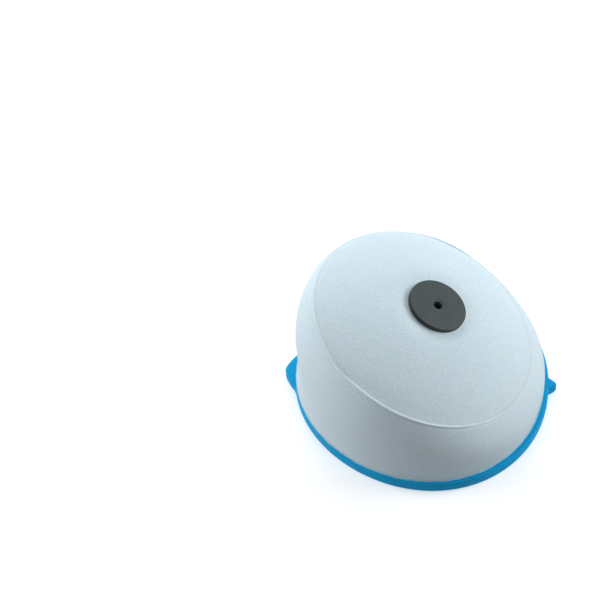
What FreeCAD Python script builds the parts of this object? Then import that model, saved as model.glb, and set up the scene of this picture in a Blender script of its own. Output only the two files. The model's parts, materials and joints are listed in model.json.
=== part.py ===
import FreeCAD, Part
import math
import os

# Foam air filter element with a sloping crown, in millimetres and degrees.
# Origin: centre of the mouth on the sealing face. +Z points from the sealing face to the crown.
# The wall is tall on the -X side and short on the +X side, so the crown slopes down towards +X.

# Sealing flange
FLANGE_RADIUS = 95.0
FLANGE_THICKNESS = 9.5
FLANGE_EDGE_ROUND = 1.2
MOUTH_RADIUS = 55.0

# Locating ears on the flange: direction, reach past the flange, half width where they start, roundings
LARGE_EAR = {"direction": 181.7, "reach": 11.2, "half_width": 14.5, "tip_round": 4.5, "root_round": 11.0}
SMALL_EAR = {"direction": 0.8, "reach": 5.6, "half_width": 4.6, "tip_round": 1.6, "root_round": 2.5}
EAR_ROOT_DEPTH = 4.0

# Glue bond between the foam walls and the flange
BOND_THICKNESS = 0.6
BOND_SQUEEZE_OUT = 0.8

# Foam: a coarse outer stage and a fine inner stage
OUTER_FOAM_THICKNESS = 7.0
INNER_FOAM_THICKNESS = 5.0
WALL_SETBACK = 2.8

# Swell of the walls: all round, and what the tall side adds, where it also sits higher
WALL_SWELL = 2.4
TALL_SIDE_SWELL = 5.0
TALL_SIDE_RISE = 1.33

# Crown: a dome of revolution about a leaning axis, on a round seam
SEAM_RADIUS = 87.1
SEAM_CENTRE_X = 1.4
SEAM_CENTRE_Y = -1.9
SEAM_CENTRE_Z = 77.5
CROWN_LEAN = 23.9
CROWN_LEAN_DIRECTION = 8.5
DOME_HEIGHT = 23.2
DOME_POWER = 2.4

# Glue beads along the seams
OUTER_SEAM_BEAD_RADIUS = 1.6
INNER_SEAM_BEAD_RADIUS = 1.5

# Clamping hardware in the crown
OUTER_WASHER_RADIUS = 21.7
OUTER_WASHER_THICKNESS = 3.5
OUTER_WASHER_CHAMFER = 0.5
BOLT_HOLE_RADIUS = 3.3
BOLT_LAND_RADIUS = 5.2
BOLT_LAND_DEPTH = 0.4
INNER_BUSH_RADIUS = 21.0
INNER_BUSH_THICKNESS = 3.2
INNER_BUSH_CHAMFER = 0.5
BOSS_SOCKET_RADIUS = 8.0
TUBE_WALL = 1.5
CLAMP_SQUEEZE = 4.0
SEAT_SINK = 0.3

# Clearances between pieces that are pushed together
HARDWARE_CLEARANCE = 0.2

# How finely free curves are worked out, and how closely edges are picked out
RING_POINTS = 24
PROFILE_POINTS = 14
WALL_STATIONS = (0.0, 0.22, 0.44, 0.62, 0.78, 0.9, 1.0)
PICK_TOLERANCE = 0.01

FOAM_THICKNESS = OUTER_FOAM_THICKNESS + INNER_FOAM_THICKNESS
WALL_RADIUS = FLANGE_RADIUS - WALL_SETBACK
WALL_BASE_Z = FLANGE_THICKNESS + BOND_THICKNESS
TUBE_RADIUS = BOSS_SOCKET_RADIUS + TUBE_WALL
FOAM_HOLE_RADIUS = TUBE_RADIUS + HARDWARE_CLEARANCE
OUTER_SEAT_RADIUS = OUTER_WASHER_RADIUS + HARDWARE_CLEARANCE
INNER_SEAT_RADIUS = INNER_BUSH_RADIUS + HARDWARE_CLEARANCE


def crown_placement():
    """Place the crown's own frame: its origin is the seam's centre and its Z is the leaning axis."""
    lean = math.radians(CROWN_LEAN)
    direction = math.radians(CROWN_LEAN_DIRECTION)
    towards = FreeCAD.Vector(math.cos(direction), math.sin(direction), 0)
    axis = towards * math.sin(lean) + FreeCAD.Vector(0, 0, math.cos(lean))
    centre = FreeCAD.Vector(SEAM_CENTRE_X, SEAM_CENTRE_Y, SEAM_CENTRE_Z)
    return FreeCAD.Placement(centre, FreeCAD.Rotation(FreeCAD.Vector(0, 0, 1), axis))


def crown_height(radius, depth=0.0):
    """Height over the seam plane of the foam surface that lies this deep under the dome."""
    return DOME_HEIGHT * (1.0 - (radius / SEAM_RADIUS) ** DOME_POWER) - depth


def seam_ring(depth):
    """Radius and height, in the crown's frame, of the corner where wall and crown meet at this depth."""
    radius = SEAM_RADIUS - depth
    return radius, crown_height(radius, depth)


OUTER_SEAT_HEIGHT = crown_height(OUTER_SEAT_RADIUS) - SEAT_SINK
INNER_SEAT_HEIGHT = OUTER_SEAT_HEIGHT - FOAM_THICKNESS + CLAMP_SQUEEZE
OUTER_WASHER_TOP = OUTER_SEAT_HEIGHT + OUTER_WASHER_THICKNESS
INNER_BUSH_FACE = INNER_SEAT_HEIGHT - INNER_BUSH_THICKNESS


def turned(profile):
    """Turn a closed profile of (radius, height) edges about the crown's axis and put it in place."""
    face = Part.Face(Part.Wire(profile))
    solid = face.revolve(FreeCAD.Vector(0, 0, 0), FreeCAD.Vector(0, 0, 1), 360)
    solid.Placement = crown_placement()
    return solid


def at(radius, height):
    """A profile point: radius along X and height along Z."""
    return FreeCAD.Vector(radius, 0, height)


def polyline(points):
    """Straight edges through the points, in order."""
    return [Part.makeLine(start, end) for start, end in zip(points, points[1:])]


def dome_edge(from_radius, to_radius, depth):
    """One smooth edge of the dome's profile at this depth, from one radius to the other."""
    step = (to_radius - from_radius) / (PROFILE_POINTS - 1)
    radii = [from_radius + step * index for index in range(PROFILE_POINTS)]
    curve = Part.BSplineCurve()
    curve.interpolate([at(radius, crown_height(radius, depth)) for radius in radii])
    return curve.toShape()


def wall_swell(angle, station):
    """How far the wall swells outwards at this angle and station; the tall side swells more and higher up."""
    tall = 0.5 - 0.5 * math.cos(angle - math.radians(CROWN_LEAN_DIRECTION))
    height = station ** (1.0 + TALL_SIDE_RISE * tall)
    return (WALL_SWELL + TALL_SIDE_SWELL * tall) * math.sin(math.pi * height)


def wall_wire(depth, station):
    """Closed ring of the wall surface at this depth, from the flange (station 0) to the seam (station 1)."""
    base_radius = WALL_RADIUS - depth
    top_radius, top_height = seam_ring(depth)
    placement = crown_placement()
    points = []
    for index in range(RING_POINTS):
        angle = 2.0 * math.pi * index / RING_POINTS
        outward = FreeCAD.Vector(math.cos(angle), math.sin(angle), 0)
        base = outward * base_radius + FreeCAD.Vector(0, 0, WALL_BASE_Z)
        top = placement.multVec(outward * top_radius + FreeCAD.Vector(0, 0, top_height))
        points.append(base * (1.0 - station) + top * station + outward * wall_swell(angle, station))
    curve = Part.BSplineCurve()
    curve.interpolate(Points=points, PeriodicFlag=True)
    return Part.Wire(curve.toShape())


def wall_surface(depth):
    """The wall surface at this depth, as one face from the flange up to the seam."""
    rings = [wall_wire(depth, station) for station in WALL_STATIONS]
    return Part.makeLoft(rings, False, False).Faces[0]


def ring_edges(face):
    """The lower and the upper closed edge of a wall surface."""
    closed = [edge for edge in face.Edges if edge.isClosed()]
    closed.sort(key=lambda edge: edge.BoundBox.ZMin)
    return closed[0], closed[-1]


def side_foam(outer_depth, inner_depth):
    """A foam wall between two depths: flat below, and mitred to the crown above."""
    outside = wall_surface(outer_depth)
    inside = wall_surface(inner_depth)
    outside_base, outside_top = ring_edges(outside)
    inside_base, inside_top = ring_edges(inside)
    foot = Part.makeRuledSurface(outside_base, inside_base)
    mitre = Part.makeRuledSurface(outside_top, inside_top)
    shell = Part.Shell([outside, inside, foot, mitre])
    shell.sewShape()
    solid = Part.Solid(shell)
    if solid.Volume < 0:
        solid.reverse()
    return solid


def crown_foam(outer_depth, inner_depth):
    """A foam crown between two depths, with the seats that the clamping hardware presses into it."""
    top_radius, top_height = seam_ring(outer_depth)
    low_radius, low_height = seam_ring(inner_depth)
    profile = []
    if outer_depth == 0.0:
        profile += polyline([
            at(FOAM_HOLE_RADIUS, OUTER_SEAT_HEIGHT),
            at(OUTER_SEAT_RADIUS, OUTER_SEAT_HEIGHT),
            at(OUTER_SEAT_RADIUS, crown_height(OUTER_SEAT_RADIUS)),
        ])
        profile.append(dome_edge(OUTER_SEAT_RADIUS, top_radius, outer_depth))
    else:
        profile.append(dome_edge(FOAM_HOLE_RADIUS, top_radius, outer_depth))
    profile += polyline([at(top_radius, top_height), at(low_radius, low_height)])
    if inner_depth == FOAM_THICKNESS:
        profile.append(dome_edge(low_radius, INNER_SEAT_RADIUS, inner_depth))
        profile += polyline([
            at(INNER_SEAT_RADIUS, crown_height(INNER_SEAT_RADIUS, inner_depth)),
            at(INNER_SEAT_RADIUS, INNER_SEAT_HEIGHT),
            at(FOAM_HOLE_RADIUS, INNER_SEAT_HEIGHT),
        ])
    else:
        profile.append(dome_edge(low_radius, FOAM_HOLE_RADIUS, inner_depth))
    profile += polyline([profile[-1].Vertexes[-1].Point, profile[0].Vertexes[0].Point])
    return turned(profile)


def seam_bead(rim_depth, hidden_depth, bead_radius):
    """A half-round bead of glue that lies on the crown's edge, along the visible rim of a foam layer's mitre."""
    rim = at(*seam_ring(rim_depth))
    along = (rim - at(*seam_ring(hidden_depth))).normalize() * bead_radius
    side = math.copysign(1.0, along.x)
    over = FreeCAD.Vector(-along.z, 0, along.x) * side
    crest = Part.Arc(rim + along, rim + over, rim - along).toShape()
    return turned([crest] + polyline([rim - along, rim + along]))


def base_bond():
    """The flat ring of glue under both foam walls, squeezed out a little on each side."""
    outside = Part.makeCylinder(WALL_RADIUS + BOND_SQUEEZE_OUT, BOND_THICKNESS)
    inside = Part.makeCylinder(WALL_RADIUS - FOAM_THICKNESS - BOND_SQUEEZE_OUT, BOND_THICKNESS)
    ring = outside.cut(inside)
    ring.translate(FreeCAD.Vector(0, 0, FLANGE_THICKNESS))
    return ring


def ear_blank(ear):
    """A three-cornered ear, as thick as the flange, that points outwards in the ear's direction."""
    root = FLANGE_RADIUS - EAR_ROOT_DEPTH
    start = math.sqrt(FLANGE_RADIUS ** 2 - ear["half_width"] ** 2)
    corners = [
        FreeCAD.Vector(root, -ear["half_width"], 0),
        FreeCAD.Vector(start, -ear["half_width"], 0),
        FreeCAD.Vector(FLANGE_RADIUS + ear["reach"], 0, 0),
        FreeCAD.Vector(start, ear["half_width"], 0),
        FreeCAD.Vector(root, ear["half_width"], 0),
    ]
    outline = Part.Face(Part.makePolygon(corners + corners[:1]))
    blank = outline.extrude(FreeCAD.Vector(0, 0, FLANGE_THICKNESS))
    blank.rotate(FreeCAD.Vector(0, 0, 0), FreeCAD.Vector(0, 0, 1), ear["direction"])
    return blank


def upright_edges(shape, ear):
    """The upright edges at an ear, from the one furthest out to the one furthest in."""
    angle = math.radians(ear["direction"])
    root = FreeCAD.Vector(math.cos(angle), math.sin(angle), 0) * FLANGE_RADIUS
    found = []
    for edge in shape.Edges:
        box = edge.BoundBox
        narrow = max(box.XLength, box.YLength) < PICK_TOLERANCE
        upright = narrow and box.ZLength > FLANGE_THICKNESS - PICK_TOLERANCE
        middle = FreeCAD.Vector(edge.CenterOfMass.x, edge.CenterOfMass.y, 0)
        if upright and middle.distanceToPoint(root) < ear["half_width"] + ear["reach"]:
            found.append((middle.Length, edge))
    found.sort(key=lambda pair: -pair[0])
    return [edge for _, edge in found]


def add_ear(disc, ear):
    """Join an ear to the flange and round its tip and its two roots."""
    eared = disc.fuse(ear_blank(ear)).removeSplitter()
    tip = upright_edges(eared, ear)[:1]
    eared = eared.makeFillet(ear["tip_round"], tip)
    roots = upright_edges(eared, ear)[-2:]
    return eared.makeFillet(ear["root_round"], roots)


def flat_outline(shape, height):
    """The edges of a plate's face at this height."""
    found = []
    for edge in shape.Edges:
        box = edge.BoundBox
        if max(abs(box.ZMin - height), abs(box.ZMax - height)) < PICK_TOLERANCE:
            found.append(edge)
    return found


def sealing_flange():
    """The soft flange: a flat ring with two ears, every edge softly rounded."""
    plate = Part.makeCylinder(FLANGE_RADIUS, FLANGE_THICKNESS)
    for ear in (LARGE_EAR, SMALL_EAR):
        plate = add_ear(plate, ear)
    rims = flat_outline(plate, 0.0) + flat_outline(plate, FLANGE_THICKNESS)
    plate = plate.makeFillet(FLANGE_EDGE_ROUND, rims)
    return plate.cut(Part.makeCylinder(MOUTH_RADIUS, FLANGE_THICKNESS))


def outer_washer():
    """The outer washer: chamfered rim, bolt hole, and a shallow land round the hole."""
    top = OUTER_WASHER_TOP
    return turned(polyline([
        at(BOLT_HOLE_RADIUS, OUTER_SEAT_HEIGHT),
        at(OUTER_WASHER_RADIUS, OUTER_SEAT_HEIGHT),
        at(OUTER_WASHER_RADIUS, top - OUTER_WASHER_CHAMFER),
        at(OUTER_WASHER_RADIUS - OUTER_WASHER_CHAMFER, top),
        at(BOLT_LAND_RADIUS, top),
        at(BOLT_LAND_RADIUS, top - BOLT_LAND_DEPTH),
        at(BOLT_HOLE_RADIUS, top - BOLT_LAND_DEPTH),
        at(BOLT_HOLE_RADIUS, OUTER_SEAT_HEIGHT),
    ]))


def inner_bush():
    """The inner bush: a flange under the foam and a tube through it that stops at the outer washer."""
    face = INNER_BUSH_FACE
    return turned(polyline([
        at(BOSS_SOCKET_RADIUS, OUTER_SEAT_HEIGHT),
        at(BOSS_SOCKET_RADIUS, face),
        at(INNER_BUSH_RADIUS - INNER_BUSH_CHAMFER, face),
        at(INNER_BUSH_RADIUS, face + INNER_BUSH_CHAMFER),
        at(INNER_BUSH_RADIUS, INNER_SEAT_HEIGHT),
        at(TUBE_RADIUS, INNER_SEAT_HEIGHT),
        at(TUBE_RADIUS, OUTER_SEAT_HEIGHT),
        at(BOSS_SOCKET_RADIUS, OUTER_SEAT_HEIGHT),
    ]))


def build():
    """Every piece by name."""
    outer_bead = seam_bead(0.0, OUTER_FOAM_THICKNESS, OUTER_SEAM_BEAD_RADIUS)
    inner_bead = seam_bead(FOAM_THICKNESS, OUTER_FOAM_THICKNESS, INNER_SEAM_BEAD_RADIUS)
    return {
        "sealing_flange": sealing_flange(),
        "base_bond": base_bond(),
        "outer_side_foam": side_foam(0.0, OUTER_FOAM_THICKNESS),
        "outer_crown_foam": crown_foam(0.0, OUTER_FOAM_THICKNESS).cut(outer_bead),
        "outer_seam_bead": outer_bead,
        "inner_side_foam": side_foam(OUTER_FOAM_THICKNESS, FOAM_THICKNESS),
        "inner_crown_foam": crown_foam(OUTER_FOAM_THICKNESS, FOAM_THICKNESS).cut(inner_bead),
        "inner_seam_bead": inner_bead,
        "outer_washer": outer_washer(),
        "inner_bush": inner_bush(),
    }


os.makedirs("parts", exist_ok=True)
for name, shape in build().items():
    shape.exportStep("parts/%s.step" % name)
    print(name, shape.isValid(), len(shape.Solids), round(shape.Volume, 1), shape.BoundBox)
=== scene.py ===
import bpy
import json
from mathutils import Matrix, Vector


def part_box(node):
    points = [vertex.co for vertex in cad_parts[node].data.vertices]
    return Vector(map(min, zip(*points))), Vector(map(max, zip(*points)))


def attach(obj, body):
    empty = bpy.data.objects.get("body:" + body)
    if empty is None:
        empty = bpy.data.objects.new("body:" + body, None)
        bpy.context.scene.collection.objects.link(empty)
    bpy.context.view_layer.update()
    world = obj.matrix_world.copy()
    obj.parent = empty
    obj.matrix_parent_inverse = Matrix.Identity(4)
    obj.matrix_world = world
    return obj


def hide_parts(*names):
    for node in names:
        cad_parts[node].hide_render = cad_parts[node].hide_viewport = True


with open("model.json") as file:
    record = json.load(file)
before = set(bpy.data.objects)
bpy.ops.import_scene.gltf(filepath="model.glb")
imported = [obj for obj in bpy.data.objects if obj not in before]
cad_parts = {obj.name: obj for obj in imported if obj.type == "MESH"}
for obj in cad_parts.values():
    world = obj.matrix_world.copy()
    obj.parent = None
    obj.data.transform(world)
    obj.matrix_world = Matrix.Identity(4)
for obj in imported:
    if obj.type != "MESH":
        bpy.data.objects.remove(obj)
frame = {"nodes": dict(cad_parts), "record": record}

"""Looks for a two-stage foam air filter element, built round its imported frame.

Every piece is placed from the frame: the mounts of the mouth, the bolt hole and the boss socket, the boxes
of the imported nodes, and the crown's own axis. Lengths are in metres.
"""

import json
import logging
import math
from dataclasses import dataclass, field
from enum import Enum
from typing import Any, Optional, Sequence, Union

import bpy
import numpy as np
from mathutils import Matrix, Vector, noise

LOG = logging.getLogger("air_filter")
BODY = "root"
MM = 0.001
TAU = 2.0 * math.pi
# Share of a straight run that the rounding of its corner may take.
LONGEST_ROUNDING = 0.45

# One value for a whole ring, or a value for each of its points.
Along = Union[float, np.ndarray]
Profile = list[tuple[Along, Along]]
# Radius and height of a point, or the low and high end of a range.
Pair = tuple[float, float]
# Radius and height of a point, and how much it is rounded.
Corner = tuple[float, float, float]
Colour = tuple[float, float, float, float]

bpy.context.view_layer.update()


# ---------------------------------------------------------------------------------------------------------
# Geometry shared by the pieces
# ---------------------------------------------------------------------------------------------------------


@dataclass(frozen=True)
class CrownFrame:
    """The crown's own frame: the seam's centre, and the leaning axis that washer, bush and dome turn about.

    Attributes:
        place: Matrix from the crown's frame to the object's frame.
        seam_radius: Radius of the outer seam.
    """

    place: Matrix
    seam_radius: float

    @classmethod
    def from_frame(cls, mount_name: str, crown_node: str) -> "CrownFrame":
        """Reads the leaning axis from a mount and the seam's place from the crown foam.

        Args:
            mount_name: The bore mount that lies on the crown's axis.
            crown_node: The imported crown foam, whose widest ring is the seam.

        Returns:
            The crown's frame.
        """
        bore = mount(mount_name)
        axis = Vector(bore["axis"]).normalized()
        point = Vector(bore["pos_m"])
        offsets = [v.co - point for v in frame["nodes"][crown_node].data.vertices]
        widest = max(offsets, key=lambda offset: (offset - axis * offset.dot(axis)).length)
        height = widest.dot(axis)
        radius = (widest - axis * height).length
        turn = Vector((0.0, 0.0, 1.0)).rotation_difference(axis).to_matrix().to_4x4()
        return cls(Matrix.Translation(point + axis * height) @ turn, radius)

    @property
    def lean_direction(self) -> float:
        """Direction in plan that the crown slopes down to, in radians from +X."""
        axis = self.place.to_3x3() @ Vector((0.0, 0.0, 1.0))
        return math.atan2(axis.y, axis.x)

    def ring(self, radius: Along, height: Along, angles: np.ndarray) -> np.ndarray:
        """Points of a ring about the crown's axis.

        Args:
            radius: Distance from the axis, for all points or for each.
            height: Height over the seam's plane, for all points or for each.
            angles: Angle of each point, in radians.

        Returns:
            One row of x, y, z for each angle.
        """
        one = np.ones_like(angles)
        local = np.stack([radius * np.cos(angles), radius * np.sin(angles), height * one, one])
        return (np.array(self.place) @ local)[:3].T


@dataclass(frozen=True)
class HandCutOutline:
    """How far the hand-cut flange and the foot glued to it are out of round, as shares of the radius.

    Attributes:
        oval: Share of the two-lobed part, along X and on the diagonal.
        three_lobed: Share of the three-lobed part, along X and across it.
    """

    oval: tuple[float, float] = (0.008, -0.012)
    three_lobed: tuple[float, float] = (-0.015, -0.001)

    def share(self, angles: np.ndarray) -> np.ndarray:
        """The outline's radius at each angle.

        Args:
            angles: Angles round the flange, in radians.

        Returns:
            Each radius, as a share of the round one.
        """
        oval = self.oval[0] * np.cos(2.0 * angles) + self.oval[1] * np.sin(2.0 * angles)
        lobes = self.three_lobed[0] * np.cos(3.0 * angles) + self.three_lobed[1] * np.sin(3.0 * angles)
        return 1.0 + oval + lobes


@dataclass(frozen=True)
class FoamShell:
    """The surfaces that both foam stages follow: the dome, and the wall between flange and seam.

    Attributes:
        crown: The crown's frame.
        outline: How far the foot is out of round.
        base_z: Height of the wall's foot.
        base_radius: Outer radius of the wall's foot.
        foot_shift: How far the foot is glued off the flange's middle, along X.
        swell_all_round: How far the wall swells outwards all round.
        swell_tall_side: What the tall side adds to the swell.
        rise_tall_side: How much higher the swell sits on the tall side.
        swell_low_side: What the low side adds to the swell.
        dome_height: Height of the dome over the seam's plane.
        dome_power: How flat the dome's middle is; 2 is a parabola.
        soft_direction: Middle of the stretch where the shoulder is soft, in degrees from the low side.
        soft_inside: Half the stretch that is fully soft, in degrees.
        soft_outside: Half the stretch outside which the seam is crisp, in degrees.
        waviness: Height of the foam's slow unevenness.
        wave_length: Distance between two of its humps.
    """

    crown: CrownFrame
    outline: HandCutOutline
    base_z: float
    base_radius: float
    foot_shift: float
    swell_all_round: float = 2.4 * MM
    swell_tall_side: float = 6.0 * MM
    rise_tall_side: float = 0.85
    swell_low_side: float = 2.2 * MM
    dome_height: float = 23.2 * MM
    dome_power: float = 2.4
    soft_direction: float = 158.0
    soft_inside: float = 38.0
    soft_outside: float = 84.0
    waviness: float = 0.35 * MM
    wave_length: float = 34.0 * MM

    def dome(self, radius: Along, depth: Along = 0.0) -> Along:
        """Height of the dome's surface over the seam's plane at this radius and depth."""
        return self.dome_height * (1.0 - (radius / self.crown.seam_radius) ** self.dome_power) - depth

    def swell(self, station: float, angles: np.ndarray) -> np.ndarray:
        """How far the wall swells outwards; the tall side swells more and higher up.

        Args:
            station: 0 at the flange and 1 at the seam.
            angles: Angle of each point, in radians.

        Returns:
            The swell at each angle.
        """
        tall = 0.5 - 0.5 * np.cos(angles - self.crown.lean_direction)
        height = min(max(station, 0.0), 1.0) ** (1.0 + self.rise_tall_side * tall)
        swell = self.swell_all_round + self.swell_tall_side * tall + self.swell_low_side * (1.0 - tall) ** 2
        return swell * np.sin(math.pi * height)

    def softness(self, angles: np.ndarray) -> np.ndarray:
        """How soft the shoulder is round the crown.

        Args:
            angles: Angle of each point, in radians.

        Returns:
            1 for each angle on the tall side, 0 where the seam is crisp, and between them on the way.
        """
        away = np.cos(angles - self.crown.lean_direction - math.radians(self.soft_direction))
        low, high = math.cos(math.radians(self.soft_outside)), math.cos(math.radians(self.soft_inside))
        return eased((away - low) / (high - low))

    def waves(self, points: np.ndarray) -> np.ndarray:
        """The foam's slow unevenness at each point."""
        return np.array([noise.noise(Vector(p) / self.wave_length) for p in points]) * self.waviness

    def wall(self, depth: Along, station: float, angles: np.ndarray) -> np.ndarray:
        """A ring of the wall.

        Args:
            depth: Distance under the wall's outer surface, for all points or for each.
            station: 0 at the flange and 1 at the seam.
            angles: Angle of each point, in radians.

        Returns:
            One row of x, y, z for each angle.
        """
        outward = np.stack([np.cos(angles), np.sin(angles), np.zeros_like(angles)], axis=1)
        foot = self.base_radius * self.outline.share(angles) - depth
        base = outward * foot[:, None] + np.array([self.foot_shift, 0.0, self.base_z])
        rim = self.crown.seam_radius - depth
        top = self.crown.ring(rim, self.dome(rim, depth), angles)
        return base * (1.0 - station) + top * station + outward * self.swell(station, angles)[:, None]


def mount(name: str) -> dict[str, Any]:
    """A mount of the record, by name."""
    return next(m for m in frame["record"]["mounts"] if m["name"] == name)


def eased(share: np.ndarray) -> np.ndarray:
    """Shares held between 0 and 1, with a soft start and a soft end."""
    held = np.clip(share, 0.0, 1.0)
    return held * held * (3.0 - 2.0 * held)


def even_angles(count: int) -> np.ndarray:
    """Evenly spaced angles round a full turn."""
    return np.arange(count) * (TAU / count)


def round_noise(angles: np.ndarray, pattern: float, scale: float) -> np.ndarray:
    """Noise that closes on itself round a full turn; each pattern number gives another one."""
    return np.array([noise.noise(Vector((math.cos(a), math.sin(a), pattern)) * scale) for a in angles])


def ring_mesh(name: str, rings: Sequence[np.ndarray]) -> bpy.types.Object:
    """Joins rings of points into one smooth closed mesh.

    Args:
        name: Name of the new object.
        rings: Rings in order round the profile, each with the same number of points.

    Returns:
        The new object, linked to the scene.
    """
    around = len(rings[0])
    points = np.concatenate(rings)
    faces = []
    for i in range(len(rings)):
        low, high = i * around, (i + 1) % len(rings) * around
        for j in range(around):
            k = (j + 1) % around
            faces.append((low + j, low + k, high + k, high + j))
    mesh = bpy.data.meshes.new(name)
    mesh.from_pydata(points.tolist(), [], faces)
    mesh.update()
    mesh.polygons.foreach_set("use_smooth", [True] * len(mesh.polygons))
    piece = bpy.data.objects.new(name, mesh)
    bpy.context.scene.collection.objects.link(piece)
    return piece


def smooth_steps(start: float, end: float, count: int) -> list[float]:
    """Values from start to end that lie closer together near both ends."""
    return [start + (end - start) * 0.5 * (1.0 - math.cos(math.pi * i / (count - 1))) for i in range(count)]


def rounded_profile(corners: Sequence[Corner], steps: int = 6) -> list[Pair]:
    """Rounds the corners of a closed profile.

    Args:
        corners: Radius, height and rounding of each corner, in order.
        steps: Points on each rounded corner.

    Returns:
        Radius and height of each point of the rounded profile.
    """
    points: list[Pair] = []
    for i, (x, y, rounding) in enumerate(corners):
        here = Vector((x, y))
        before = Vector(corners[i - 1][:2]) - here
        after = Vector(corners[(i + 1) % len(corners)][:2]) - here
        if rounding <= 0.0:
            points.append((x, y))
            continue
        reach = min(rounding, LONGEST_ROUNDING * before.length, LONGEST_ROUNDING * after.length)
        start, end = here + before.normalized() * reach, here + after.normalized() * reach
        for step in range(steps + 1):
            t = step / steps
            point = start * (1.0 - t) ** 2 + here * 2.0 * t * (1.0 - t) + end * t**2
            points.append((point.x, point.y))
    return points


# ---------------------------------------------------------------------------------------------------------
# Finishes
# ---------------------------------------------------------------------------------------------------------


class NodeTree:
    """A short way to write a material's nodes.

    Attributes:
        material: The material that the nodes belong to.
        tree: Its tree of nodes.
        shader: Its Principled shader.
        place: The object's own place, as a source socket.
    """

    def __init__(self, name: str) -> None:
        """Starts a material with a Principled shader.

        Args:
            name: Name of the material.
        """
        self.material = bpy.data.materials.new(name)
        self.material.use_nodes = True
        self.tree = self.material.node_tree
        self.shader = self.tree.nodes["Principled BSDF"]
        self.place = self.add("ShaderNodeTexCoord").outputs["Object"]

    def add(self, kind: str, inputs: Optional[dict[str, Any]] = None, **settings: Any) -> bpy.types.Node:
        """Adds a node.

        Args:
            kind: Blender's name of the node type.
            inputs: Value or source socket of each named input.
            settings: Properties of the node.

        Returns:
            The new node.
        """
        node = self.tree.nodes.new(kind)
        for key, value in settings.items():
            setattr(node, key, value)
        for key, value in (inputs or {}).items():
            self.join(value, node.inputs[key])
        return node

    def join(self, value: Any, socket: bpy.types.NodeSocket) -> None:
        """Links a source socket to an input, or sets the input's own value.

        Args:
            value: The source socket, or the value.
            socket: The input.
        """
        if isinstance(value, bpy.types.NodeSocket):
            self.tree.links.new(value, socket)
        else:
            socket.default_value = value

    def noise(self, scale: float, detail: float = 3.0, roughness: float = 0.5) -> bpy.types.NodeSocket:
        """Noise over the object's own place, from 0 to 1."""
        values = {"Vector": self.place, "Scale": scale, "Detail": detail, "Roughness": roughness}
        return self.add("ShaderNodeTexNoise", values).outputs["Fac"]

    def cells(self, scale: float, randomness: float = 1.0) -> bpy.types.NodeSocket:
        """Round cells over the object's own place, as the distance from the middle of each."""
        values = {"Vector": self.place, "Scale": scale, "Randomness": randomness}
        return self.add("ShaderNodeTexVoronoi", values).outputs["Distance"]

    def spread(
        self, value: bpy.types.NodeSocket, source: Pair, target: Pair = (0.0, 1.0)
    ) -> bpy.types.NodeSocket:
        """Maps a range of a value to another range, held at both ends.

        Args:
            value: The value.
            source: Low and high end of the value's range.
            target: What the two ends become.

        Returns:
            The mapped value.
        """
        values = {"Value": value, "From Min": source[0], "From Max": source[1]}
        values |= {"To Min": target[0], "To Max": target[1]}
        return self.add("ShaderNodeMapRange", values).outputs["Result"]

    def blend(self, amount: Any, first: Any, second: Any) -> bpy.types.NodeSocket:
        """Mixes two colours.

        Args:
            amount: 0 for the first colour, 1 for the second.
            first: The first colour, or its socket.
            second: The second colour, or its socket.

        Returns:
            The mixed colour.
        """
        node = self.add("ShaderNodeMix", data_type="RGBA")
        self.join(amount, node.inputs[0])
        self.join(first, node.inputs[6])
        self.join(second, node.inputs[7])
        return node.outputs[2]

    def sum(self, first: Any, second: Any, operation: str = "ADD") -> bpy.types.NodeSocket:
        """Adds, or otherwise combines, two values.

        Args:
            first: The first value, or its socket.
            second: The second value, or its socket.
            operation: Blender's name of the operation.

        Returns:
            The result.
        """
        node = self.add("ShaderNodeMath", operation=operation)
        self.join(first, node.inputs[0])
        self.join(second, node.inputs[1])
        return node.outputs[0]

    def bump(
        self, height: bpy.types.NodeSocket, distance: float, strength: float, under: Any = None
    ) -> bpy.types.NodeSocket:
        """A bump, on top of another bump where one is given.

        Args:
            height: The bump's shape, from 0 to 1.
            distance: Its height.
            strength: Its strength, from 0 to 1.
            under: The bump that it lies on.

        Returns:
            The bump's normal.
        """
        node = self.add("ShaderNodeBump", {"Height": height, "Distance": distance, "Strength": strength})
        if under is not None:
            self.join(under, node.inputs["Normal"])
        return node.outputs["Normal"]

    def finish(self, **inputs: Any) -> bpy.types.Material:
        """Sets the shader's inputs.

        Args:
            inputs: Value or source socket of each input, with _ for each space in its name.

        Returns:
            The finished material.
        """
        for key, value in inputs.items():
            self.join(value, self.shader.inputs[key.replace("_", " ")])
        return self.material


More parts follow.
